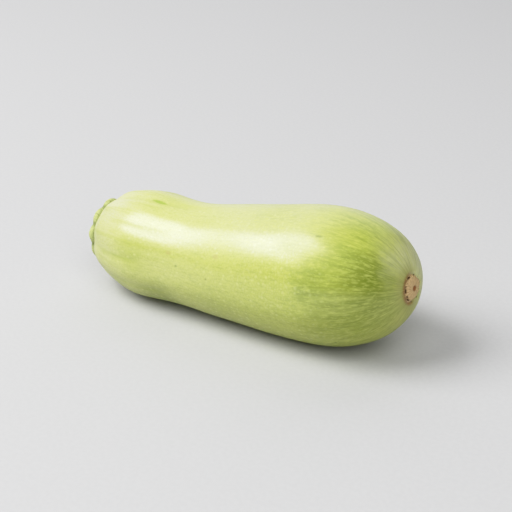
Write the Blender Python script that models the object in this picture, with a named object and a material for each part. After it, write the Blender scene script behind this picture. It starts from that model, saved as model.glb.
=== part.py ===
"""A Korean zucchini lying on its side, with the stub of its stem.

Metres, +Z up. +X runs from the stem to the blossom scar, and the origin is on
the surface that the fruit rests on, under the middle of its box.
"""

import math

import bmesh
import bpy
from mathutils import Matrix, Vector

# The fruit's body: a slim neck with a swelling towards each end
FRUIT_LENGTH = 0.165
NECK_RADIUS = 0.0186
BULB_SWELL = 0.0142
BULB_AT = 0.143
BULB_REACH = 0.098
SHOULDER_SWELL = 0.0043
SHOULDER_AT = 0.026
SHOULDER_REACH = 0.0195

# Its two rounded ends. A power of 2 gives an ellipse, and more gives a flatter end
STEM_END_LENGTH = 0.0132
STEM_END_POWER = 2.8
BLOSSOM_END_LENGTH = 0.0515
BLOSSOM_END_POWER = 2.28

# Its centre line rises from the shoulder to the bulb, and is slightly bent to one side and back
SHOULDER_REST_AT = 0.0247
SHOULDER_REST_HEIGHT = 0.0259
BULB_REST_AT = 0.1287
BULB_REST_HEIGHT = 0.0325
SAG = -0.0011
SIDE_BEND = -0.0037
BACK_BEND = 0.0029

# Ribs run from the stem and die out before the middle, five large with five small between
RIB_COUNT = 5
FURROW_DEPTH = 0.0011
SMALL_FURROW_DEPTH = 0.0005
FURROW_ANGLE = math.radians(14)
FURROW_SHARPNESS = 3
RIBS_END = 0.085

# The corky blossom scar: a low pad, a ring of ten pits round it and a dimple in its middle
SCAR_RADIUS = 0.0060
SCAR_PAD_RISE = 0.0004
SCAR_RING_DEPTH = 0.0004
SCAR_RING_WIDTH = 0.0007
SCAR_PIT_DEPTH = 0.0005
SCAR_PITS = 10
STYLE_RADIUS = 0.0009
STYLE_DEPTH = 0.0005

# The stem: a five-sided stub, cut across, that spreads into a lobed collar on the fruit's end
STUB_RADIUS = 0.0057
STUB_HEIGHT = 0.0100
STUB_RIB = 0.0006
CUT_HOLLOW = 0.0007
COLLAR_RADIUS = 0.0170
COLLAR_HEIGHT = 0.0048
COLLAR_LOBE = 0.0013
LOBE_UNEVENNESS = 0.2
NOTCH_SOFTNESS = 0.2
COLLAR_WAIST_RADIUS = 0.0153
STEM_ROOT = 0.0045
STEM_DROP = 0.0018
STEM_LEAN = math.radians(10)
STEM_DROOP = math.radians(4)
STEM_TWIST = math.radians(-9.5)
SEAT_GAP = 0.0003

# Facets: a multiple of twice the ribs goes round, so that each rib is cut alike
ROUND_STEPS = 80
BODY_RINGS = 38
SCAR_RINGS = (0, 0.16, 0.4, 0.7, 0.86, 0.94, 1, 1.06, 1.14, 1.35)
BISECTIONS = 40

SKIN_COLOUR = (0.50, 0.56, 0.17, 1.0)
SKIN_ROUGHNESS = 0.35
FIBRE_COLOUR = (0.42, 0.50, 0.20, 1.0)
FIBRE_ROUGHNESS = 0.6


def swelling(distance, place, reach):
    """A smooth rise of 1 at place, which dies out on both sides."""
    return math.exp(-(((distance - place) / reach) ** 2))


def rounded_end(share, power):
    """How wide a rounded end is, from 0 at its tip to 1 where it meets the body."""
    if share >= 1:
        return 1.0
    return (1 - (1 - max(share, 0)) ** power) ** (1 / power)


def body_radius(x):
    """The fruit's mean radius at a distance from the stem."""
    body = (
        NECK_RADIUS
        + BULB_SWELL * swelling(x, BULB_AT, BULB_REACH)
        + SHOULDER_SWELL * swelling(x, SHOULDER_AT, SHOULDER_REACH)
    )
    return (
        body
        * rounded_end(x / STEM_END_LENGTH, STEM_END_POWER)
        * rounded_end((FRUIT_LENGTH - x) / BLOSSOM_END_LENGTH, BLOSSOM_END_POWER)
    )


def centre(x):
    """The fruit's centre line, before it is moved to the origin."""
    share = x / FRUIT_LENGTH
    side = SIDE_BEND * 4 * share * (1 - share)
    side += BACK_BEND * 10 * share * (1 - share) * (2 * share - 1)
    rest = (x - SHOULDER_REST_AT) / (BULB_REST_AT - SHOULDER_REST_AT)
    height = SHOULDER_REST_HEIGHT + (BULB_REST_HEIGHT - SHOULDER_REST_HEIGHT) * rest
    return Vector((x, side, height + SAG * 4 * rest * (1 - rest)))


def cross_frame(x):
    """Along, up and sideways at a point of the centre line. Sideways is towards -Y."""
    step = 1e-4
    along = (centre(x + step) - centre(x - step)).normalized()
    sideways = along.cross(Vector((0, 0, 1))).normalized()
    return along, sideways.cross(along), sideways


def furrow(x, angle):
    """How far the furrows between the ribs lie below the fruit's mean radius."""
    fade = max(0.0, 1 - x / RIBS_END)
    fade = fade * fade * (3 - 2 * fade)
    wave = math.cos(RIB_COUNT * (angle - FURROW_ANGLE))
    large = ((1 + wave) / 2) ** FURROW_SHARPNESS
    small = ((1 - wave) / 2) ** FURROW_SHARPNESS
    return fade * (FURROW_DEPTH * large + SMALL_FURROW_DEPTH * small)


def scar_relief(radius, angle):
    """How far the blossom scar stands out of the fruit's rounded end."""
    ring = swelling(radius, SCAR_RADIUS, SCAR_RING_WIDTH)
    pits = (0.5 + 0.5 * math.cos(SCAR_PITS * angle)) ** 2
    pad = SCAR_PAD_RISE * rounded_end((SCAR_RADIUS - radius) / SCAR_RADIUS, 2)
    style = STYLE_DEPTH * swelling(radius, 0, STYLE_RADIUS)
    return pad - ring * (SCAR_RING_DEPTH + SCAR_PIT_DEPTH * pits) - style


def fruit_point(x, angle):
    """A point of the fruit's skin."""
    along, up, sideways = cross_frame(x)
    mean = body_radius(x)
    end = rounded_end(x / STEM_END_LENGTH, STEM_END_POWER)
    radius = mean - end * furrow(x, angle)
    outward = math.cos(angle) * up + math.sin(angle) * sideways
    point = centre(x) + radius * outward
    if x > FRUIT_LENGTH / 2:
        point += scar_relief(mean, angle) * along
    return point


def blossom_station(radius):
    """The distance from the stem at which the blossom's end has this mean radius."""
    near, far = BULB_AT, FRUIT_LENGTH
    for _ in range(BISECTIONS):
        middle = (near + far) / 2
        if body_radius(middle) > radius:
            near = middle
        else:
            far = middle
    return near


def fruit_stations():
    """Distances from the stem for the rings, from the blossom's pole to the stem's.

    SCAR_RINGS are shares of the scar's radius. The others are closer towards both ends.
    """
    scar = [blossom_station(share * SCAR_RADIUS) for share in SCAR_RINGS]
    turn = math.acos(1 - 2 * scar[-1] / FRUIT_LENGTH)
    turns = [turn * (1 - i / BODY_RINGS) for i in range(1, BODY_RINGS + 1)]
    return scar + [FRUIT_LENGTH * (1 - math.cos(t)) / 2 for t in turns]


def moulded(name, stations, place, surface):
    """A UV sphere whose rings are moved to the stations, top pole first."""
    rings = len(stations) - 1
    bm = bmesh.new()
    bmesh.ops.create_uvsphere(bm, u_segments=ROUND_STEPS, v_segments=rings, radius=1)
    for vert in bm.verts:
        ring = round(math.acos(max(-1, min(1, vert.co.z))) / math.pi * rings)
        angle = math.atan2(vert.co.y, vert.co.x)
        vert.co = place(stations[ring], angle)
    bmesh.ops.recalc_face_normals(bm, faces=bm.faces)
    mesh = bpy.data.meshes.new(name)
    bm.to_mesh(mesh)
    bm.free()
    mesh.materials.append(surface)
    mesh.shade_smooth()
    return bpy.data.objects.new(name, mesh)


def flatten_underside(obj):
    """Cuts off what lies below the floor, which leaves a small flat under each swelling."""
    bm = bmesh.new()
    bm.from_mesh(obj.data)
    everything = bm.verts[:] + bm.edges[:] + bm.faces[:]
    bmesh.ops.bisect_plane(
        bm, geom=everything, plane_co=(0, 0, 0), plane_no=(0, 0, 1), clear_inner=True
    )
    rim = [edge for edge in bm.edges if edge.is_boundary]
    bmesh.ops.holes_fill(bm, edges=rim)
    bm.to_mesh(obj.data)
    bm.free()


# The stem's profile, from the middle of its cut face out and down to its root in the fruit:
# the radius, the height over the fruit's end, and how much of the ribs and lobes it has there
STEM_PROFILE = [
    (0, STUB_HEIGHT - CUT_HOLLOW, 0, 0),
    (0.50 * STUB_RADIUS, STUB_HEIGHT - CUT_HOLLOW, 0.5, 0),
    (0.84 * STUB_RADIUS, STUB_HEIGHT - 0.1 * CUT_HOLLOW, 0.9, 0),
    (0.95 * STUB_RADIUS, STUB_HEIGHT, 1, 0),
    (STUB_RADIUS, 0.94 * STUB_HEIGHT, 1, 0),
    (1.05 * STUB_RADIUS, 0.80 * STUB_HEIGHT, 1, 0),
    (1.20 * STUB_RADIUS, 0.68 * STUB_HEIGHT, 1.2, 0.1),
    (1.60 * STUB_RADIUS, 0.54 * STUB_HEIGHT, 1.1, 0.4),
    (0.70 * COLLAR_RADIUS, 1.12 * COLLAR_HEIGHT, 0.6, 0.7),
    (0.86 * COLLAR_RADIUS, 0.98 * COLLAR_HEIGHT, 0.2, 1),
    (0.95 * COLLAR_RADIUS, 0.80 * COLLAR_HEIGHT, 0, 1),
    (COLLAR_RADIUS, 0.50 * COLLAR_HEIGHT, 0, 1),
    (0.98 * COLLAR_RADIUS, 0.24 * COLLAR_HEIGHT, 0, 1),
    (COLLAR_WAIST_RADIUS, 0, 0, 0.8),
    (COLLAR_WAIST_RADIUS, -0.5 * STEM_ROOT, 0, 0.7),
    (0.7 * COLLAR_WAIST_RADIUS, -0.9 * STEM_ROOT, 0, 0.4),
    (0, -STEM_ROOT, 0, 0),
]


def stem_frame():
    """Where the stem sits on the fruit's end, and its own along, up and sideways."""
    along, up, sideways = cross_frame(0)
    seat = centre(0) - STEM_DROP * up
    along = (along - math.tan(STEM_LEAN) * sideways + math.tan(STEM_DROOP) * up).normalized()
    sideways = along.cross(Vector((0, 0, 1))).normalized()
    return seat, along, sideways.cross(along), sideways


def stem_point(station, angle):
    """A point of the stem, whose collar has a lobe on each of the fruit's ribs and furrows."""
    radius, height, rib_share, lobe_share = station
    seat, along, up, sideways = stem_frame()
    wave = math.cos(RIB_COUNT * (-angle - FURROW_ANGLE - STEM_TWIST))
    # Round lobes with narrow notches between them
    lobe = COLLAR_LOBE * (math.hypot(wave, NOTCH_SOFTNESS) - 0.7) * (1 + LOBE_UNEVENNESS * wave)
    radius += lobe_share * lobe + rib_share * STUB_RIB * wave
    height += lobe_share * lobe / 2
    outward = math.cos(angle) * up - math.sin(angle) * sideways
    return seat + radius * outward - height * along


def make_material(name, colour, roughness):
    made = bpy.data.materials.new(name)
    made.use_nodes = True
    shader = made.node_tree.nodes["Principled BSDF"]
    shader.inputs["Base Color"].default_value = colour
    shader.inputs["Roughness"].default_value = roughness
    shader.inputs["Metallic"].default_value = 0.0
    return made


def seat_stem(stem, fruit, cutters):
    """Hollows the stem's underside to the fruit's end, with a small gap."""
    cutter = bpy.data.objects.new("seat_cutter", fruit.data.copy())
    cutters.objects.link(cutter)
    cutter.hide_render = True
    cutter.display_type = "WIRE"
    grow = cutter.modifiers.new("gap", "DISPLACE")
    grow.strength = SEAT_GAP
    grow.mid_level = 0
    cut = stem.modifiers.new("seat", "BOOLEAN")
    cut.operation = "DIFFERENCE"
    cut.object = cutter


def stand_on_origin(objects):
    """Moves everything sideways until the middle of its box is over the origin."""
    bpy.context.view_layer.update()
    graph = bpy.context.evaluated_depsgraph_get()
    shown = [obj.evaluated_get(graph) for obj in objects if not obj.hide_render]
    corners = [obj.matrix_world @ vert.co for obj in shown for vert in obj.data.vertices]
    middle = Vector(
        (
            (min(p.x for p in corners) + max(p.x for p in corners)) / 2,
            (min(p.y for p in corners) + max(p.y for p in corners)) / 2,
            0,
        )
    )
    for obj in objects:
        obj.data.transform(Matrix.Translation(-middle))


def main():
    for obj in list(bpy.data.objects):
        bpy.data.objects.remove(obj)
    parts = bpy.data.collections.new("korean_zucchini")
    cutters = bpy.data.collections.new("cutters")
    for collection in (parts, cutters):
        bpy.context.scene.collection.children.link(collection)

    skin = make_material("zucchini_skin", SKIN_COLOUR, SKIN_ROUGHNESS)
    fruit = moulded("fruit", fruit_stations(), fruit_point, skin)
    fibre = make_material("stem_fibre", FIBRE_COLOUR, FIBRE_ROUGHNESS)
    stem = moulded("stem", STEM_PROFILE, stem_point, fibre)
    parts.objects.link(fruit)
    parts.objects.link(stem)
    seat_stem(stem, fruit, cutters)
    flatten_underside(fruit)
    stand_on_origin([fruit, stem, *cutters.objects])


main()
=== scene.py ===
"""The looks of a Korean zucchini that lies on its side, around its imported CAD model.

Sizes are in millimetres and angles in degrees, and MM turns millimetres to Blender's metres.
+X runs from the stem to the blossom scar, +Z is up, and the floor is at 0. An angle round the
fruit starts at its top and turns towards -Y, which is the side that the camera sees.
"""

import bpy
import numpy as np
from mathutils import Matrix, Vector
from mathutils.bvhtree import BVHTree


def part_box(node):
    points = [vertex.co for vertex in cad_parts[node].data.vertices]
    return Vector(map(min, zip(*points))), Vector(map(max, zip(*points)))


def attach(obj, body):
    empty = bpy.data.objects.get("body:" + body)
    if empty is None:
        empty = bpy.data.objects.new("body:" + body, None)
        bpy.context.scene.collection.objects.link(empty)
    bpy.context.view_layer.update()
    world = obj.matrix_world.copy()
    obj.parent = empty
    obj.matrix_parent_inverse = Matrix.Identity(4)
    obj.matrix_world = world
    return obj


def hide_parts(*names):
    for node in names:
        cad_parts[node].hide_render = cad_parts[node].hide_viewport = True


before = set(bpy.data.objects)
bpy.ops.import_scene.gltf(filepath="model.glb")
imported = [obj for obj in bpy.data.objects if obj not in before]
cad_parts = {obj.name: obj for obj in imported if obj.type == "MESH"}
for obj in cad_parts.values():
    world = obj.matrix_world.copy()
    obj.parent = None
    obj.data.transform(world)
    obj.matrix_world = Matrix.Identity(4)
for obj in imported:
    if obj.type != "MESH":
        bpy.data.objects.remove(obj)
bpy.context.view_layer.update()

# Fruit

# The whole fruit, grown as one body: firm watery flesh under a thin waxy skin. It has a slim
# neck with a low shoulder by the stem, a fat bulb, ribs that die out towards the middle, and
# the corky scar that the flower left when it dropped off.

MM = 0.001

# The body, as in the CAD: a slim neck with a swelling towards each end
FRUIT_LENGTH = 165.0
NECK_RADIUS = 18.6
BULB_SWELL = 14.2
BULB_AT = 143.0
BULB_REACH = 98.0
SHOULDER_SWELL = 4.3
SHOULDER_AT = 26.0
SHOULDER_REACH = 19.5
STEM_END_LENGTH = 13.2
STEM_END_POWER = 2.8
BLOSSOM_END_LENGTH = 51.5
BLOSSOM_END_POWER = 2.28

# Its centre line, which is slightly bent
SHOULDER_REST_AT = 24.7
SHOULDER_REST_HEIGHT = 25.9
BULB_REST_AT = 128.7
BULB_REST_HEIGHT = 32.5
SAG = -1.1
SIDE_BEND = -3.7
BACK_BEND = 2.9

# Ribs with five deep furrows and five shallow ones between them
RIB_COUNT = 5
FURROW_DEPTH = 1.1
SMALL_FURROW_DEPTH = 0.5
FURROW_ANGLE = 14
FURROW_SHARPNESS = 3
RIBS_END = 85.0

# A crease runs in the bottom of a furrow: its angle at CREASE_NEAR and at CREASE_FAR from the
# stem, where it starts and ends, and how deep it is
CREASE_NEAR = 20.0
CREASE_FAR = 50.0
CREASE_WIDTH = 2.0
CREASE_FADE = 7.0
CREASES = [
    (14, 9, 9, 64, 0.20),
    (50, 52, 12, 58, 0.16),
    (88, 81, 10, 42, 0.24),
    (116, 118, 16, 56, 0.16),
    (158, 160, 10, 50, 0.20),
    (194, 193, 12, 44, 0.14),
    (230, 232, 9, 52, 0.26),
    (266, 264, 14, 50, 0.14),
    (302, 300, 9, 56, 0.30),
    (338, 340, 13, 46, 0.15),
]

# A short sunken nick in the first crease, greener than the skin round it
NICK_AT = 36.0
NICK_ANGLE = 10.5
NICK_LENGTH = 4.5
NICK_WIDTH = 1.1
NICK_DEPTH = 0.15

# Low uneven lumps, as nothing that grows is quite round
LUMP_SEED = 5
LUMP_WAVES = 14
LUMP_HEIGHT = 0.11
LUMP_LENGTHS = (14.0, 42.0)

# The blossom scar: a low corky pad with an uneven edge, a sunken ring and a dimple in its middle
SCAR_RADIUS = 5.9
SCAR_UNEVENNESS = 0.35
SCAR_PAD_RISE = 0.45
SCAR_RING_DEPTH = 0.35
SCAR_RING_WIDTH = 0.75
STYLE_RADIUS = 0.8
STYLE_DEPTH = 0.55
STYLE_RIM = 0.12
WRINKLE_DEPTH = 0.07
WRINKLES = 17

# The pits where the petals' strands tore off: angle, distance from the middle, length round the
# scar, and depth
PIT_WIDTH = 0.42
PITS = [
    (20, 5.8, 1.0, 0.75),
    (66, 5.5, 0.7, 0.45),
    (87, 5.3, 1.2, 0.75),
    (119, 5.3, 0.7, 0.65),
    (137, 5.8, 1.1, 0.75),
    (170, 6.4, 0.9, 0.45),
    (212, 6.7, 0.8, 0.50),
    (238, 6.6, 1.0, 0.55),
    (271, 6.7, 0.7, 0.50),
    (303, 6.3, 0.6, 0.35),
    (336, 5.9, 0.6, 0.60),
]

# The mesh: fine rings over the scar, then even ones along the skin
ROUND_STEPS = 320
SCAR_RINGS = 52
SCAR_RING_STEP = 0.16
BODY_RINGS = 228
TABLE_STEPS = 6000


def swelling(distance, place, reach):
    """A smooth rise of 1 at place, which dies out on both sides."""
    return np.exp(-(((distance - place) / reach) ** 2))


def rise(value, low, high):
    """Goes smoothly from 0 at low to 1 at high."""
    share = np.clip((value - low) / (high - low), 0, 1)
    return share * share * (3 - 2 * share)


def rounded_end(share, power):
    """How wide a rounded end is, from 0 at its tip to 1 where it meets the body."""
    return (1 - (1 - np.clip(share, 0, 1)) ** power) ** (1 / power)


def body_radius(x):
    """The fruit's mean radius at a distance from the stem."""
    body = NECK_RADIUS + BULB_SWELL * swelling(x, BULB_AT, BULB_REACH)
    body = body + SHOULDER_SWELL * swelling(x, SHOULDER_AT, SHOULDER_REACH)
    stem_end = rounded_end(x / STEM_END_LENGTH, STEM_END_POWER)
    return body * stem_end * rounded_end((FRUIT_LENGTH - x) / BLOSSOM_END_LENGTH, BLOSSOM_END_POWER)


def centre_line(x):
    """The fruit's centre line, before it is moved to the origin."""
    share = x / FRUIT_LENGTH
    side = SIDE_BEND * 4 * share * (1 - share)
    side = side + BACK_BEND * 10 * share * (1 - share) * (2 * share - 1)
    rest = (x - SHOULDER_REST_AT) / (BULB_REST_AT - SHOULDER_REST_AT)
    height = SHOULDER_REST_HEIGHT + (BULB_REST_HEIGHT - SHOULDER_REST_HEIGHT) * rest
    return np.stack([x, side, height + SAG * 4 * rest * (1 - rest)], axis=-1)


def cross_frame(x):
    """Along, up and sideways at points of the centre line. Sideways is towards -Y."""
    along = centre_line(x + 0.1) - centre_line(x - 0.1)
    along = along / np.linalg.norm(along, axis=-1, keepdims=True)
    sideways = np.cross(along, (0, 0, 1))
    sideways = sideways / np.linalg.norm(sideways, axis=-1, keepdims=True)
    return along, np.cross(sideways, along), sideways


def furrow(x, angle):
    """How far the furrows between the ribs lie below the fruit's mean radius."""
    wave = np.cos(RIB_COUNT * (angle - np.radians(FURROW_ANGLE)))
    large = ((1 + wave) / 2) ** FURROW_SHARPNESS
    small = ((1 - wave) / 2) ** FURROW_SHARPNESS
    return rise(RIBS_END - x, 0, RIBS_END) * (FURROW_DEPTH * large + SMALL_FURROW_DEPTH * small)


def turned(angle, degrees):
    """How far an angle lies from one given in degrees, between half a turn each way."""
    return (angle - np.radians(degrees) + np.pi) % (2 * np.pi) - np.pi


def creases(x, angle):
    """How deep the creases in the furrows are, and separately the nick in the first one."""
    depth = 0 * x * angle
    for near, far, start, end, deep in CREASES:
        middle = near + (far - near) * (x - CREASE_NEAR) / (CREASE_FAR - CREASE_NEAR)
        across = turned(angle, middle) * body_radius(x)
        length = rise(x, start, start + CREASE_FADE) * rise(end - x, 0, 2 * CREASE_FADE)
        depth = depth + deep * length * swelling(across, 0, CREASE_WIDTH)
    across = turned(angle, NICK_ANGLE) * body_radius(x)
    nick = swelling(x, NICK_AT, NICK_LENGTH) * swelling(across, 0, NICK_WIDTH)
    return depth, nick


def blossom_scar(radius, angle):
    """How far the scar stands out of the fruit's end, with its pits, wrinkles and corky share."""
    edge = SCAR_RADIUS + SCAR_UNEVENNESS * (
        np.sin(3 * angle + 0.7) + 0.6 * np.sin(5 * angle + 2.1) + 0.5 * np.sin(8 * angle)
    )
    pad = SCAR_PAD_RISE * rounded_end((edge - radius) / edge, 2)
    ring = SCAR_RING_DEPTH * swelling(radius, edge, SCAR_RING_WIDTH)
    style = STYLE_DEPTH * swelling(radius, 0, STYLE_RADIUS)
    rim = STYLE_RIM * swelling(radius, 2 * STYLE_RADIUS, STYLE_RADIUS)
    wave = np.sin(WRINKLES * angle + 1.5 * np.sin(4 * angle) + 0.5 * radius)
    wrinkles = wave * rise(radius, 1, 3) * rise(edge - radius, -0.8, 1)
    pits = 0 * radius * angle
    for place, distance, length, deep in PITS:
        round_it = turned(angle, place) * distance
        spot = swelling(radius, distance, PIT_WIDTH) * swelling(round_it, 0, length)
        pits = np.maximum(pits, deep * spot)
    height = pad + rim + WRINKLE_DEPTH * wrinkles - ring - style - pits
    return height, pits, wrinkles, rise(edge - radius, -0.5, 0.3)


def vectors_on_skin(points):
    """Unit normals of a grid of points that closes round, pointing out of the fruit."""
    lengthways = np.gradient(points, axis=0)
    round_it = np.roll(points, -1, axis=1) - np.roll(points, 1, axis=1)
    normals = np.cross(round_it, lengthways)
    normals[[0, -1]] = normals[[1, -2]].mean(axis=1, keepdims=True)
    return normals / np.linalg.norm(normals, axis=-1, keepdims=True)


def closed_mesh(name, grid, values):
    """A smooth closed mesh through rings of points, whose first and last ring are one point.

    Values are named grids of numbers or vectors, kept on the mesh for its material.
    """
    rings, steps = grid.shape[:2]

    def poled(field):
        between = field[1:-1].reshape(-1, *field.shape[2:])
        return np.concatenate([field[:1, 0], between, field[-1:, 0]])

    ring_starts = 1 + steps * np.arange(rings - 3)[:, None]
    first = ring_starts + np.arange(steps)[None]
    beside = ring_starts + (np.arange(steps)[None] + 1) % steps
    quads = np.stack([first, beside, beside + steps, first + steps], axis=-1).reshape(-1, 4)
    last_ring = 1 + steps * (rings - 3)
    turn = [(i, (i + 1) % steps) for i in range(steps)]
    caps = [(0, 1 + b, 1 + a) for a, b in turn]
    caps += [(last_ring + steps, last_ring + a, last_ring + b) for a, b in turn]
    mesh = bpy.data.meshes.new(name)
    mesh.from_pydata((poled(grid) * MM).tolist(), [], quads.tolist() + caps)
    for title, field in values.items():
        kind, slot = ("FLOAT_VECTOR", "vector") if field.ndim == 3 else ("FLOAT", "value")
        mesh.attributes.new(title, kind, "POINT").data.foreach_set(slot, poled(field).ravel())
    mesh.validate()
    mesh.shade_smooth()
    made = bpy.data.objects.new(name, mesh)
    bpy.context.scene.collection.objects.link(made)
    return made


# Rings from the stem's pole to the blossom's, at distances measured along the skin
table_x = FRUIT_LENGTH * (1 - np.cos(np.linspace(0, np.pi, TABLE_STEPS))) / 2
table_skin = np.hypot(np.diff(table_x), np.diff(body_radius(table_x)))
table_skin = np.concatenate([[0], np.cumsum(table_skin)])
scar_places = table_skin[-1] - SCAR_RING_STEP * np.arange(SCAR_RINGS)
body_places = np.linspace(scar_places[-1], 0, BODY_RINGS + 1)[1:]
skin_places = np.concatenate([scar_places, body_places])[::-1]
ring_x = np.interp(skin_places, table_skin, table_x)

# Rings run down the grids and angles run across. Adding 0 * angle spreads a ring's value over
# the whole grid.
angles = np.linspace(0, 2 * np.pi, ROUND_STEPS, endpoint=False)
x, angle = ring_x[:, None], angles[None]
mean_radius = body_radius(x) + 0 * angle
along, up, sideways = (v[:, None] for v in cross_frame(ring_x))
outward = np.cos(angle)[..., None] * up + np.sin(angle)[..., None] * sideways
ribbed = mean_radius - rounded_end(x / STEM_END_LENGTH, STEM_END_POWER) * furrow(x, angle)
smooth_skin = centre_line(ring_x)[:, None] + ribbed[..., None] * outward

# The CAD's fruit stands in the middle of the part's box, and this one goes where it stands
cad_low, cad_high = (np.array(corner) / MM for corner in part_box("fruit"))
shift = (cad_low + cad_high - smooth_skin.min((0, 1)) - smooth_skin.max((0, 1))) / 2
shift[2] = 0
smooth_skin += shift

# What the CAD leaves out is added along the skin's normals
normals = vectors_on_skin(smooth_skin)
rng = np.random.default_rng(LUMP_SEED)
lumps = 0
for _ in range(LUMP_WAVES):
    heading = rng.normal(size=3)
    length = rng.uniform(*LUMP_LENGTHS)
    phase = smooth_skin @ (heading / np.linalg.norm(heading)) * 2 * np.pi / length
    lumps = lumps + np.sin(phase + rng.uniform(0, 2 * np.pi))
crease_depth, nick = creases(x, angle)
scar_rise, scar_pits, scar_wrinkles, corky = blossom_scar(mean_radius, angle)
blossom_half = rise(x, FRUIT_LENGTH / 2, FRUIT_LENGTH / 2 + 1)
relief = LUMP_HEIGHT * lumps / np.sqrt(LUMP_WAVES) - crease_depth - NICK_DEPTH * nick
relief = relief + blossom_half * scar_rise
fruit_skin = smooth_skin + relief[..., None] * normals
fruit_skin[..., 2] = np.maximum(fruit_skin[..., 2], 0)


def point_on_skin(distance, degrees):
    """The mesh's nearest point to a place, given by its distance from the stem and its angle."""
    ring = int(np.argmin(np.abs(ring_x - distance)))
    return smooth_skin[ring, round(degrees / 360 * ROUND_STEPS) % ROUND_STEPS]


# For the material: skin_mm winds round and along the skin with no seam, and draws together at
# both poles as the fruit's own streaks do. scar_mm is the place in the scar's plane, with the
# distance from its middle, which is made large on the stem's half to keep the scar off it.
ROUND_MM = 25.0
skin_mm = np.stack(np.broadcast_arrays(
    ROUND_MM * np.cos(angle), ROUND_MM * np.sin(angle), skin_places[:, None]), axis=-1)
scar_mm = np.stack([mean_radius * np.cos(angle), mean_radius * np.sin(angle), mean_radius], axis=-1)
scar_mm[..., 2] += (1 - blossom_half) * FRUIT_LENGTH
fruit = closed_mesh("zucchini_fruit", fruit_skin, {
    "skin_mm": skin_mm,
    "scar_mm": scar_mm,
    "from_stem": x + 0 * angle,
    "crease": crease_depth,
    "nick": nick,
    "pits": scar_pits * blossom_half,
    "wrinkles": scar_wrinkles * blossom_half,
    "corky": corky * blossom_half,
})


def linear(hex_colour):
    """Turns an sRGB hex colour to the linear one that Blender's shaders use."""
    shares = [int(hex_colour[i : i + 2], 16) / 255 for i in (1, 3, 5)]
    return (*((s / 12.92 if s < 0.04045 else ((s + 0.055) / 1.055) ** 2.4) for s in shares), 1)


def add_node(tree, kind, inputs, out=0, **settings):
    """Adds a node with its settings and links, and returns one of its outputs.

    An input is a value, or another node's output that it is linked to.
    """
    node = tree.nodes.new(kind)
    for name, value in settings.items():
        setattr(node, name, value)
    for name, value in inputs.items():
        if isinstance(value, bpy.types.NodeSocket):
            tree.links.new(value, node.inputs[name])
        else:
            node.inputs[name].default_value = value
    return node.outputs[out]


def lay_colours(tree, colour, layers):
    """Lays colours over one another, as a painter would.

    A layer is its colour, its share where it is strongest, and the measures that it depends
    on: each with the value at which the layer is gone, and the one at which it is full. A Mix
    node has its two colours at sockets 6 and 7, and the mixed one at 2.
    """
    for over, share, measures in layers:
        for measure, gone, full in measures:
            share = add_node(
                tree, "ShaderNodeMapRange",
                {"Value": measure, "From Min": gone, "From Max": full, "To Max": share},
                interpolation_type="SMOOTHSTEP")
        colour = add_node(
            tree, "ShaderNodeMix", {0: share, 6: colour, 7: over}, 2, data_type="RGBA")
    return colour


# Zucchini skin: a thin cuticle with a natural wax over green cells, thin enough for the pale
# flesh to glow through. It gives a satin sheen with a clear highlight, fine streaks that run
# from end to end, and pale specks where the skin breathes.
CREAM = linear("#d0d198")
PALE_LIME = linear("#c5cb77")
LIME = linear("#bac25e")
BULB_GREEN = linear("#b4be4c")
END_GREEN_AND_SHEEN = linear("#bdc068")
DEEP_GREEN = linear("#6f8208")
BELLY_PAINTED_SHADE = linear("#68772a")
PAINTED_SHEEN_PALE = linear("#d6d8be")
CHAFED_AND_SHEEN_PALE = linear("#dcdea8")
YELLOW_GREEN = linear("#a9b63c")
SPECK_PALE = linear("#d0d58c")
STREAK_PALE = linear("#c5cc68")
STREAK_GREEN = linear("#7f8f30")
CREASE_GREEN = linear("#a3b03c")
NICK_GREEN = linear("#98ad26")
SCAB_TAN = linear("#b5a268")
SCAB_DARK = linear("#66701c")
CORK = linear("#c09f6e")
CORK_PALE = linear("#e0c692")
CORK_EDGE = linear("#94703a")
STYLE_BROWN = linear("#8c5426")
PIT_BROWN = linear("#3a200c")
HALO_OCHRE = linear("#8f5f18")
HALO_OLIVE = linear("#939138")

skin = bpy.data.materials.new("waxy_zucchini_skin")
skin.use_nodes = True
tree = skin.node_tree
shader = tree.nodes["Principled BSDF"]
skin_place = add_node(tree, "ShaderNodeAttribute", {}, "Vector", attribute_name="skin_mm")
scar_place = add_node(tree, "ShaderNodeAttribute", {}, "Vector", attribute_name="scar_mm")
scar_side, scar_distance = (
    add_node(tree, "ShaderNodeSeparateXYZ", {0: scar_place}, out) for out in ("Y", "Z"))
from_stem, in_crease, in_nick, in_pit, on_wrinkle, on_cork = (
    add_node(tree, "ShaderNodeAttribute", {}, "Fac", attribute_name=name)
    for name in ("from_stem", "crease", "nick", "pits", "wrinkles", "corky"))
object_place = add_node(tree, "ShaderNodeTexCoord", {}, "Object")
place = add_node(
    tree, "ShaderNodeVectorMath", {0: object_place, "Scale": 1 / MM}, operation="SCALE")

# Cloudy patterns drawn out along the skin: how wide and how long their patches are, how many
# finer ones lie on them, and how strong those are. The narrow streaks, the dashes and the pores
# are somewhat coarser than life, so that they show.
PATTERNS = {
    "clouds": (24, 46, 3, 0.5),
    "bands": (2.6, 42, 3, 0.5),
    "rays": (1.7, 20, 2, 0.5),
    "streaks": (0.7, 6, 3, 0.6),
    "dashes": (0.7, 2.2, 3, 0.6),
    "ruffles": (1.4, 1.4, 3, 0.6),
    "pores": (0.8, 0.8, 1, 0.5),
}
pattern = {}
for name, (width, length, detail, strength) in PATTERNS.items():
    drawn_out = add_node(
        tree, "ShaderNodeVectorMath", {0: skin_place, 1: (1, 1, width / length)},
        operation="MULTIPLY")
    pattern[name] = add_node(tree, "ShaderNodeTexNoise", {
        "Vector": drawn_out, "Scale": 1 / width, "Detail": detail, "Roughness": strength})
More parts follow.
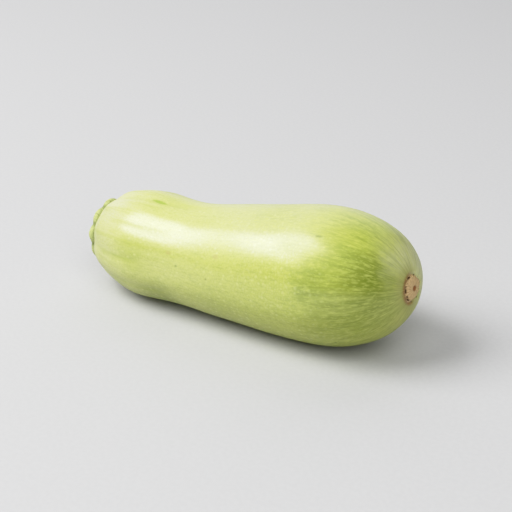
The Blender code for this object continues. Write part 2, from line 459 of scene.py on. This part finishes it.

# From the cream stem end through lime to the greener bulb, with clouds and bands of green. The end
# by the scar is paler again: partly its own colour, partly a painted sheen for the reflection of
# the bright surroundings there.
layers = [
    (PALE_LIME, 1, [(from_stem, 2, 46)]),
    (LIME, 1, [(from_stem, 45, 118)]),
    (BULB_GREEN, 1, [(from_stem, 100, 150)]),
    (END_GREEN_AND_SHEEN, 1, [(from_stem, 148, 164)]),
    (DEEP_GREEN, 0.20, [(pattern["clouds"], 0.45, 0.75)]),
    (CREAM, 0.35, [(pattern["bands"], 0.5, 0.72), (from_stem, 80, 20)]),
    (SPECK_PALE, 0.40, [(pattern["pores"], 0.5, 0.75), (from_stem, 150, 110)]),
    (YELLOW_GREEN, 0.35, [(pattern["pores"], 0.5, 0.25), (from_stem, 150, 110)]),
    (YELLOW_GREEN, 0.42, [(pattern["bands"], 0.5, 0.3), (from_stem, 80, 20)]),
    (YELLOW_GREEN, 0.25, [(pattern["streaks"], 0.5, 0.3), (from_stem, 110, 40)]),
]

# Patches of deeper green and of paler skin: distance from the stem, angle, reach, share and colour.
# Some of them are painted light, as marked below. Ruffles make the edge of a patch uneven. They
# move a place by half their reach on average, so the patch's middle is moved with it.
RUFFLE_SIZE = 9.0
RUFFLE_REACH = 12.0
PATCHES = [
    (156, 58, 17, 0.92, DEEP_GREEN),
    (128, 74, 12, 0.35, DEEP_GREEN),
    (150, 92, 37, 0.56, DEEP_GREEN),
    (33, 80, 15, 0.50, YELLOW_GREEN),
    # Painted shade: darker green along the lower side by the stem, where the fruit turns under
    # towards the floor
    (45, 138, 19, 0.55, DEEP_GREEN),
    (22, 125, 10, 0.30, YELLOW_GREEN),
    # Painted highlight: a pale patch under the start of the highlight by the stem, which softens
    # its end
    (14, 42, 18, 0.28, PAINTED_SHEEN_PALE),
    (160, 26, 9, 0.50, CHAFED_AND_SHEEN_PALE),
    (158, 108, 16, 0.35, DEEP_GREEN),
    # Painted reflection: the pale patch right of the scar stands in for the light that the skin
    # reflects there
    (162, -25, 24, 0.95, CHAFED_AND_SHEEN_PALE),
    (148, 0, 24, 0.25, STREAK_GREEN),
]
ruffle = add_node(
    tree, "ShaderNodeTexNoise", {"Vector": place, "Scale": 1 / RUFFLE_SIZE, "Detail": 4},
    "Color")
ruffled_place = add_node(
    tree, "ShaderNodeVectorMath", {0: ruffle, 1: (RUFFLE_REACH,) * 3, 2: place},
    operation="MULTIPLY_ADD")
for patch_x, patch_angle, reach, share, tint in PATCHES:
    middle = tuple(point_on_skin(patch_x, patch_angle) + RUFFLE_REACH / 2)
    away = add_node(
        tree, "ShaderNodeVectorMath", {0: ruffled_place, 1: middle}, "Value", operation="DISTANCE")
    layers.append((tint, share, [(away, reach, 0)]))

# Painted shade: the belly, which faces the floor, is painted a darker and duller green
facing = add_node(tree, "ShaderNodeTexCoord", {}, "Normal")
upward = add_node(tree, "ShaderNodeSeparateXYZ", {0: facing}, "Z")
layers.append((BELLY_PAINTED_SHADE, 0.4, [(upward, -0.4, -0.95)]))

# Painted sheen: the top of the saddle is painted paler and whiter, for the broad reflection of the
# light from above
layers.append((PAINTED_SHEEN_PALE, 0.25, [(upward, 0.5, 1), (from_stem, 50, 90), (from_stem, 150, 110)]))

# Rays that run in to the scar, streaks and dashes: how strong the pale and the green ones are,
# how far from the stem they are absent and full, and how far the pattern has to be from its
# middle value for them to be full there
for name, pale, green, absent, full, contrast in (
    ("rays", 0.30, 0.34, 105, 155, 0.14),
    ("streaks", 0.42, 0.30, 20, 140, 0.22),
    ("dashes", 0.45, 0.17, -60, 60, 0.20),
):
    layers += [
        (STREAK_PALE, pale, [(pattern[name], 0.5, 0.5 + contrast), (from_stem, absent, full)]),
        (STREAK_GREEN, green, [(pattern[name], 0.5, 0.5 - contrast), (from_stem, absent, full)]),
    ]

# Pale specks, round on the body and drawn out towards the blossom: how strong and how long they
# are, and how far from the stem they are absent and full
SPECK_SPACING = 1.9
for tint, share, stretch, absent, full in (
    (SPECK_PALE, 0.60, 1.3, 155, 100),
    (STREAK_PALE, 0.50, 3.0, 90, 145),
):
    drawn_out = add_node(
        tree, "ShaderNodeVectorMath", {0: skin_place, 1: (1, 1, 1 / stretch)}, operation="MULTIPLY")
    cell = {"Vector": drawn_out, "Scale": 1 / SPECK_SPACING}
    off_middle = add_node(tree, "ShaderNodeTexVoronoi", cell)
    colour = add_node(tree, "ShaderNodeTexVoronoi", cell, "Color")
    chosen = add_node(tree, "ShaderNodeSeparateColor", {0: colour})
    layers.append((tint, share, [
        (off_middle, 0.45, 0.08), (chosen, 0.05, 0.8), (from_stem, absent, full)]))

# Creases are a darker green, and the nick a stronger green
layers.append((CREASE_GREEN, 0.35, [(in_crease, 0.05, 0.3)]))
layers.append((NICK_GREEN, 1, [(in_nick, 0.15, 0.7), (pattern["ruffles"], 0.25, 0.45)]))

# Small knocks and scabs: distance from the stem, angle, length, width, share and colour. A mark
# is full up to MARK_CORE of its width from its middle, and gone at MARK_EDGE.
MARK_CORE = 0.2
MARK_EDGE = 0.8
MARKS = [
    (128.6, 33.6, 3.6, 0.8, 0.50, SCAB_DARK),
    (135.7, 134.8, 1.2, 0.9, 0.70, SCAB_DARK),
    (137.5, 133.0, 1.0, 0.6, 0.50, SCAB_DARK),
    (58.2, 79.0, 1.2, 1.0, 0.45, SCAB_DARK),
    (74.6, 85.0, 1.0, 0.9, 0.45, SCAB_DARK),
    (79.0, 62.0, 3.0, 1.8, 0.40, SCAB_TAN),
    (53.5, 67.0, 2.6, 1.6, 0.40, SCAB_TAN),
]
for mark_x, mark_angle, length, width, share, tint in MARKS:
    across = np.array([1, 1, width / length])
    turn = np.radians(mark_angle)
    middle = np.array([
        ROUND_MM * np.cos(turn), ROUND_MM * np.sin(turn), np.interp(mark_x, table_x, table_skin)])
    drawn_out = add_node(
        tree, "ShaderNodeVectorMath", {0: skin_place, 1: tuple(across)}, operation="MULTIPLY")
    away = add_node(
        tree, "ShaderNodeVectorMath", {0: drawn_out, 1: tuple(middle * across)}, "Value",
        operation="DISTANCE")
    layers.append((tint, share, [(away, MARK_EDGE * width, MARK_CORE * width)]))

# The halo and the cork of the blossom scar, with the pits where its strands tore off
cork = lay_colours(tree, CORK, [
    (CORK_PALE, 0.9, [(pattern["ruffles"], 0.35, 0.65)]),
    (CORK_PALE, 0.30, [(on_wrinkle, 0.1, 0.9)]),
    (CORK_EDGE, 0.16, [(on_wrinkle, -0.1, -0.9)]),
    (CORK_EDGE, 0.8, [(scar_distance, 4.2, 6.0), (pattern["ruffles"], 0.6, 0.4)]),
    (STYLE_BROWN, 0.9, [(scar_distance, 1.8, 0.8)]),
])
layers += [
    (HALO_OLIVE, 0.6, [(scar_distance, 13, 7), (scar_side, -6, 4)]),
    (HALO_OCHRE, 0.9, [
        (scar_distance, 8.6, 6.8), (scar_side, -3, 4), (pattern["ruffles"], 0.3, 0.48)]),
    (cork, 1, [(on_cork, 0, 1)]),
    (PIT_BROWN, 0.85, [(in_pit, 0.12, 0.5)]),
]
colour = lay_colours(tree, CREAM, layers)
tree.links.new(colour, shader.inputs["Base Color"])

# The skin is satin and cork is matt
SATIN_ROUGHNESS = (0.42, 0.52)
CORK_ROUGHNESS = 0.8
satin = add_node(tree, "ShaderNodeMapRange", {
    "Value": pattern["ruffles"], "From Min": 0.3, "From Max": 0.7,
    "To Min": SATIN_ROUGHNESS[0], "To Max": SATIN_ROUGHNESS[1]})
roughness = add_node(
    tree, "ShaderNodeMapRange", {"Value": on_cork, "To Min": satin, "To Max": CORK_ROUGHNESS})
tree.links.new(roughness, shader.inputs["Roughness"])

# How thick the wax is: whole on the sunny side, thin by the stem and in clouds, bands and
# streaks, rubbed at one place on the saddle where it was handled and towards the blossom, nearly
# gone from the belly that lay on the ground, and none on the cork
WHOLE_WAX, THIN_WAX, RUBBED_WAX, BELLY_WAX, NO_WAX = (
    (share, share, share, 1) for share in (0.7, 0.3, 0.2, 0.05, 0))
HANDLED_AT = 80.0
HANDLED_ANGLE = 48
handled = tuple(point_on_skin(HANDLED_AT, HANDLED_ANGLE))
off_handled = add_node(
    tree, "ShaderNodeVectorMath", {0: place, 1: handled}, "Value", operation="DISTANCE")
wax = lay_colours(tree, WHOLE_WAX, [
    (THIN_WAX, 1, [(from_stem, 60, 6)]),
    (THIN_WAX, 0.5, [(pattern["bands"], 0.5, 0.3), (from_stem, 110, 40)]),
    (RUBBED_WAX, 0.6, [(off_handled, 18, 3)]),
    (THIN_WAX, 0.7, [(pattern["clouds"], 0.48, 0.68)]),
    (THIN_WAX, 0.5, [(pattern["streaks"], 0.5, 0.75)]),
    (RUBBED_WAX, 0.9, [(from_stem, 135, 158)]),
    (BELLY_WAX, 1, [(upward, 0.1, -0.4)]),
    (NO_WAX, 1, [(on_cork, 0, 1)]),
])
tree.links.new(wax, shader.inputs["Coat Weight"])

# A plant's wax has an index of about 1.45. Here it is raised to match the highlight's strength.
shader.inputs["Coat Roughness"].default_value = 0.27
shader.inputs["Coat IOR"].default_value = 1.8
shader.inputs["IOR"].default_value = 1.5
shader.inputs["Specular IOR Level"].default_value = 0.5
shader.inputs["Subsurface Weight"].default_value = 0.12
shader.inputs["Subsurface Radius"].default_value = (1.0, 0.8, 0.3)
shader.inputs["Subsurface Scale"].default_value = 2 * MM

# Relief too fine for the mesh, and how high it stands
height = 0
for name, depth in (("pores", 0.018), ("streaks", 0.016), ("ruffles", 0.018)):
    height = add_node(
        tree, "ShaderNodeMath", {0: pattern[name], 1: depth, 2: height}, operation="MULTIPLY_ADD")
bump = add_node(tree, "ShaderNodeBump", {"Height": height, "Distance": MM, "Strength": 1})
tree.links.new(bump, shader.inputs["Normal"])

fruit.data.materials.append(skin)
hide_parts("fruit")
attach(fruit, "root")

# Stem

# The stub of the fruit stalk, cut across when the fruit was picked. It is fibrous and five-sided
# and spreads into a collar of rounded lobes that has grown on to the fruit's end.

# The stub with its five ribs, and the hollow in its cut face
STUB_RADIUS = 5.7
STUB_HEIGHT = 10.0
STUB_RIB = 0.6
CUT_HOLLOW = 0.7
CUT_FACE_EDGE = 0.93
CUT_FACE_FULL = 0.86

# The collar with its ten lobes, and the waist below it
COLLAR_RADIUS = 17.0
COLLAR_HEIGHT = 4.8
COLLAR_LOBE = 1.3
LOBE_UNEVENNESS = 0.2
LOBE_MEAN = 0.7
NOTCH_SOFTNESS = 0.2
COLLAR_WAIST_RADIUS = 15.3

# How it sits on the fruit's end
STEM_ROOT = 4.5
STEM_DROP = 1.8
STEM_LEAN = 10
STEM_DROOP = 4
STEM_TWIST = -9.5
SEAT_GAP = 0.3
RAY_LENGTH = 120.0

# Two sets of coarse fibres, which fade and end at distances from its middle
FIBRE_DEPTH = 0.16
FIBRES = 45
FEWER_FIBRES = 27
FIBRES_FADE_AT = 9.0
FIBRES_END_AT = 19.0

# The mesh
STEM_STEPS = 320
PROFILE_STEPS = 9

# From the middle of the cut face out and down to the root: the radius, the height over the
# fruit's end, and how much of the ribs and of the lobes it has there
STEM_PROFILE = np.array([
    (0, STUB_HEIGHT - CUT_HOLLOW, 0, 0),
    (0.50 * STUB_RADIUS, STUB_HEIGHT - CUT_HOLLOW, 0.5, 0),
    (0.84 * STUB_RADIUS, STUB_HEIGHT - 0.1 * CUT_HOLLOW, 0.9, 0),
    (0.95 * STUB_RADIUS, STUB_HEIGHT, 1, 0),
    (STUB_RADIUS, 0.94 * STUB_HEIGHT, 1, 0),
    (1.05 * STUB_RADIUS, 0.80 * STUB_HEIGHT, 1, 0),
    (1.20 * STUB_RADIUS, 0.68 * STUB_HEIGHT, 1.2, 0.1),
    (1.60 * STUB_RADIUS, 0.54 * STUB_HEIGHT, 1.1, 0.4),
    (0.70 * COLLAR_RADIUS, 1.12 * COLLAR_HEIGHT, 0.6, 0.7),
    (0.86 * COLLAR_RADIUS, 0.98 * COLLAR_HEIGHT, 0.2, 1),
    (0.95 * COLLAR_RADIUS, 0.80 * COLLAR_HEIGHT, 0, 1),
    (COLLAR_RADIUS, 0.50 * COLLAR_HEIGHT, 0, 1),
    (0.98 * COLLAR_RADIUS, 0.24 * COLLAR_HEIGHT, 0, 1),
    (COLLAR_WAIST_RADIUS, 0, 0, 0.8),
    (COLLAR_WAIST_RADIUS, -0.5 * STEM_ROOT, 0, 0.7),
    (0.7 * COLLAR_WAIST_RADIUS, -0.9 * STEM_ROOT, 0, 0.4),
    (0, -STEM_ROOT, 0, 0),
])


def smooth_through(points, steps):
    """A smooth line through points, with a number of steps between each two."""
    ends = np.vstack([2 * points[0] - points[1], points, 2 * points[-1] - points[-2]])
    t = np.arange(steps)[:, None] / steps
    line = []
    for a, b, c, d in zip(ends, ends[1:], ends[2:], ends[3:]):
        bend = (2 * a - 5 * b + 4 * c - d) * t**2
        line.append((2 * b + (c - a) * t + bend + (3 * b - a - 3 * c + d) * t**3) / 2)
    return np.vstack([*line, points[-1:]])


# The stem leans on the fruit's end, in the CAD's own frame
stem_along, stem_up, stem_sideways = cross_frame(np.array(0.0))
seat = centre_line(np.array(0.0)) - STEM_DROP * stem_up + shift
stem_along = stem_along - np.tan(np.radians(STEM_LEAN)) * stem_sideways
stem_along = stem_along + np.tan(np.radians(STEM_DROOP)) * stem_up
stem_along /= np.linalg.norm(stem_along)
stem_sideways = np.cross(stem_along, (0, 0, 1))
stem_sideways /= np.linalg.norm(stem_sideways)
stem_up = np.cross(stem_sideways, stem_along)

profile = smooth_through(STEM_PROFILE, PROFILE_STEPS)
radius, height_up, rib_share, lobe_share = (column[:, None] for column in profile.T)
turns = np.linspace(0, 2 * np.pi, STEM_STEPS, endpoint=False)[None]
wave = np.cos(RIB_COUNT * (-turns - np.radians(FURROW_ANGLE + STEM_TWIST)))
lobe_wave = np.hypot(wave, NOTCH_SOFTNESS)
lobe = COLLAR_LOBE * (lobe_wave - LOBE_MEAN) * (1 + LOBE_UNEVENNESS * wave)
stem_radius = np.maximum(radius + lobe_share * lobe + rib_share * STUB_RIB * wave, 0)
stem_radius[[0, -1]] = 0
stem_height = height_up + lobe_share * lobe / 2

# Coarse fibres down the stub and out over the collar
outside = rise(stem_radius, 0.8 * STUB_RADIUS, STUB_RADIUS) * rise(stem_height, 0, 2)
fibre_wave = np.sin(FIBRES * turns + 2 * np.sin(3 * turns) + 0.15 * stem_radius)
fibre_wave = fibre_wave + 0.6 * np.sin(FEWER_FIBRES * turns + 1.3 + 1.5 * np.sin(2 * turns))
fibre_share = rise(stem_radius, FIBRES_END_AT, FIBRES_FADE_AT)
stem_relief = FIBRE_DEPTH * outside * fibre_wave * fibre_share

stem_out = np.cos(turns)[..., None] * stem_up - np.sin(turns)[..., None] * stem_sideways
stem_skin = seat + stem_radius[..., None] * stem_out - stem_height[..., None] * stem_along
stem_normals = -vectors_on_skin(stem_skin)
stem_skin = stem_skin + stem_relief[..., None] * stem_normals

# The underside follows the fruit's end, with the CAD's gap between them: a ray along the stem
# through each point finds the fruit, and a point that lies too deep is drawn back along its ray
fruit_shape = BVHTree.FromPolygons(
    [v.co[:] for v in fruit.data.vertices], [p.vertices[:] for p in fruit.data.polygons])
for ring, step in np.ndindex(stem_skin.shape[:2]):
    start = stem_skin[ring, step] - RAY_LENGTH / 2 * stem_along
    hit = fruit_shape.ray_cast(Vector(start * MM), Vector(stem_along), RAY_LENGTH * MM)
    if hit[0] is not None:
        room = hit[3] / MM - SEAT_GAP
        if room < RAY_LENGTH / 2:
            stem_skin[ring, step] = start + room * stem_along

# For the material: the place on the stem, and how far it is in a notch or on the cut face
stem_mm = np.stack([stem_radius * np.cos(turns), stem_radius * np.sin(turns), stem_height], axis=-1)
cut_face = rise(radius, CUT_FACE_EDGE * STUB_RADIUS, CUT_FACE_FULL * STUB_RADIUS)
cut_face = cut_face * (height_up > STUB_HEIGHT / 2)
stem = closed_mesh("zucchini_stem", stem_skin, {
    "stem_mm": stem_mm,
    "stem_radius": stem_radius,
    "notch": lobe_share * (1 - lobe_wave),
    "cut_face": cut_face + 0 * turns,
})

# Cut stalk: dry ribbed fibres with a thin green skin, straw-coloured and pithy where it was
# cut. It is matt, paler on the lobes and darker in the notches between them. The fibres are
# coarser than life, so that they show.
LOBE_COLOUR = linear("#bfc788")
STALK_GREEN = linear("#93a052")
NOTCH_GREEN = linear("#5f6b28")
STRAW = linear("#b3aa78")
PITH = linear("#c6c098")
FIBRE_BROWN = linear("#7b703c")
FIBRE_WIDTH = 0.9
FIBRE_LENGTH = 6.0
FIBRE_BUMP = 0.15
VESSEL_WIDTH = 0.7
STALK_ROUGHNESS = (0.65, 0.85)

tissue = bpy.data.materials.new("cut_zucchini_stalk")
tissue.use_nodes = True
tree = tissue.node_tree
shader = tree.nodes["Principled BSDF"]
stem_place = add_node(tree, "ShaderNodeAttribute", {}, "Vector", attribute_name="stem_mm")
out_from_middle, in_notch, on_cut = (
    add_node(tree, "ShaderNodeAttribute", {}, "Fac", attribute_name=name)
    for name in ("stem_radius", "notch", "cut_face"))
fibre_place = add_node(
    tree, "ShaderNodeVectorMath", {0: stem_place, 1: (1, 1, FIBRE_WIDTH / FIBRE_LENGTH)},
    operation="MULTIPLY")
fibres = add_node(
    tree, "ShaderNodeTexNoise",
    {"Vector": fibre_place, "Scale": 1 / FIBRE_WIDTH, "Detail": 4, "Roughness": 0.65})
vessels = add_node(
    tree, "ShaderNodeTexNoise", {"Vector": stem_place, "Scale": 1 / VESSEL_WIDTH, "Detail": 3})
cut = lay_colours(tree, PITH, [
    (STRAW, 1, [(out_from_middle, 1.2, 3.2)]),
    (FIBRE_BROWN, 0.7, [(vessels, 0.55, 0.7)]),
])
colour = lay_colours(tree, STALK_GREEN, [
    (LOBE_COLOUR, 1, [(out_from_middle, 7, 13)]),
    (NOTCH_GREEN, 0.45, [(fibres, 0.55, 0.3)]),
    (NOTCH_GREEN, 0.6, [(in_notch, 0.35, 0.8)]),
    (cut, 1, [(on_cut, 0, 1)]),
])
tree.links.new(colour, shader.inputs["Base Color"])
roughness = add_node(tree, "ShaderNodeMapRange", {
    "Value": fibres, "From Min": 0.3, "From Max": 0.7,
    "To Min": STALK_ROUGHNESS[0], "To Max": STALK_ROUGHNESS[1]})
tree.links.new(roughness, shader.inputs["Roughness"])
shader.inputs["IOR"].default_value = 1.45
shader.inputs["Specular IOR Level"].default_value = 0.3
shader.inputs["Subsurface Weight"].default_value = 0.1
shader.inputs["Subsurface Radius"].default_value = (1.0, 0.8, 0.3)
shader.inputs["Subsurface Scale"].default_value = 1 * MM
bump = add_node(
    tree, "ShaderNodeBump", {"Height": fibres, "Distance": FIBRE_BUMP * MM, "Strength": 1})
tree.links.new(bump, shader.inputs["Normal"])

stem.data.materials.append(tissue)
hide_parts("stem")
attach(stem, "root")

# Floor

# A wide sheet of pale grey studio paper, pressed from wood pulp. It lies flat, and is rolled
# out far past the picture's edges.

FLOOR_SIZE = 9000.0
PAPER_GREY = linear("#c4c4c5")
PAPER_WHITE = linear("#ffffff")
PULP_SIZE = 2.0
PULP_SHARE = 0.04

half = FLOOR_SIZE / 2 * MM
paper_mesh = bpy.data.meshes.new("studio_paper")
paper_mesh.from_pydata(
    [(-half, -half, 0), (half, -half, 0), (half, half, 0), (-half, half, 0)], [], [(0, 1, 2, 3)])
floor = bpy.data.objects.new("studio_paper", paper_mesh)
bpy.context.scene.collection.objects.link(floor)

# Seamless background paper: pressed wood pulp, quite matt, with an even grain that is drawn
# coarser than life
paper = bpy.data.materials.new("matt_studio_paper")
paper.use_nodes = True
tree = paper.node_tree
shader = tree.nodes["Principled BSDF"]
paper_place = add_node(tree, "ShaderNodeTexCoord", {}, "Object")
pulp = add_node(
    tree, "ShaderNodeTexNoise",
    {"Vector": paper_place, "Scale": 1 / (PULP_SIZE * MM), "Detail": 2})
colour = lay_colours(tree, PAPER_GREY, [(PAPER_WHITE, PULP_SHARE, [(pulp, 0.3, 0.7)])])
tree.links.new(colour, shader.inputs["Base Color"])
shader.inputs["Roughness"].default_value = 0.95
shader.inputs["Specular IOR Level"].default_value = 0.2
floor.data.materials.append(paper)

# Lights

# A soft box stands to the left of the picture, with weaker and larger ones beside the camera
# and behind the fruit, and pale walls all round fill the shade.

WALL_WHITE = linear("#ffffff")
WALL_STRENGTH = 0.08
SOFT_BOX_DISTANCE = 1800.0
AIM_HEIGHT = 30.0


def add_soft_box(name, azimuth, elevation, size, watts):
    """A square soft box aimed at the fruit. Azimuth 0 is at the stem's end and 90 at -Y."""
    lamp = bpy.data.lights.new(name, "AREA")
    lamp.shape = "SQUARE"
    lamp.size = size * MM
    lamp.energy = watts
    made = bpy.data.objects.new(name, lamp)
    flat = np.cos(np.radians(elevation))
    towards = Vector((
        -flat * np.cos(np.radians(azimuth)),
        -flat * np.sin(np.radians(azimuth)),
        np.sin(np.radians(elevation)),
    ))
    made.location = towards * SOFT_BOX_DISTANCE * MM + Vector((0, 0, AIM_HEIGHT * MM))
    made.rotation_euler = towards.to_track_quat("Z", "Y").to_euler()
    bpy.context.scene.collection.objects.link(made)
    return made


add_soft_box("key_soft_box", 37, 47.5, 1230, 34.5)
fill = add_soft_box("fill_soft_box", 130, 45, 1425, 20.5)
add_soft_box("back_soft_box", 303, 32, 2500, 18)

# The fill lights the near side without showing in the wax
fill.visible_glossy = False

walls = bpy.data.worlds.new("pale_walls")
walls.use_nodes = True
backdrop = walls.node_tree.nodes["Background"]
backdrop.inputs["Color"].default_value = WALL_WHITE
backdrop.inputs["Strength"].default_value = WALL_STRENGTH
bpy.context.scene.world = walls

# Camera

# The camera has a long lens. It stands in front of the fruit, on the side of its blossom end,
# and looks a little down on it.

CAMERA_AZIMUTH = 33.2
CAMERA_ELEVATION = 25.0
CAMERA_DISTANCE = 570.7
CAMERA_AIM = (4.145, 2.805, 29.97)
CAMERA_REACH = 50000.0
LENS_MM = 85.0
SENSOR_MM = 36.0

lens = bpy.data.cameras.new("camera")
lens.lens = LENS_MM
lens.sensor_width = SENSOR_MM
lens.clip_end = CAMERA_REACH * MM
camera = bpy.data.objects.new("camera", lens)
turn, tilt = np.radians(CAMERA_AZIMUTH), np.radians(CAMERA_ELEVATION)
back = Vector((np.sin(turn) * np.cos(tilt), -np.cos(turn) * np.cos(tilt), np.sin(tilt)))
camera.location = (Vector(CAMERA_AIM) + back * CAMERA_DISTANCE) * MM
camera.rotation_euler = back.to_track_quat("Z", "Y").to_euler()
bpy.context.scene.collection.objects.link(camera)
bpy.context.scene.camera = camera

# The picture is developed as a camera would, with highlights that roll off instead of clipping:
# the brightnesses that stay as they are, and what the brightest comes down to
KEPT_TONES = (0.35, 0.70)
TOP_TONE = 0.85
developing = bpy.context.scene.view_settings
developing.view_transform = "Standard"
developing.use_curve_mapping = True
developing.curve_mapping.use_clip = False
developing.curve_mapping.extend = "EXTRAPOLATED"
all_colours = 3
tone = developing.curve_mapping.curves[all_colours]
tone.points[1].location = (1.0, TOP_TONE)
for brightness in KEPT_TONES:
    tone.points.new(brightness, brightness)
developing.curve_mapping.update()
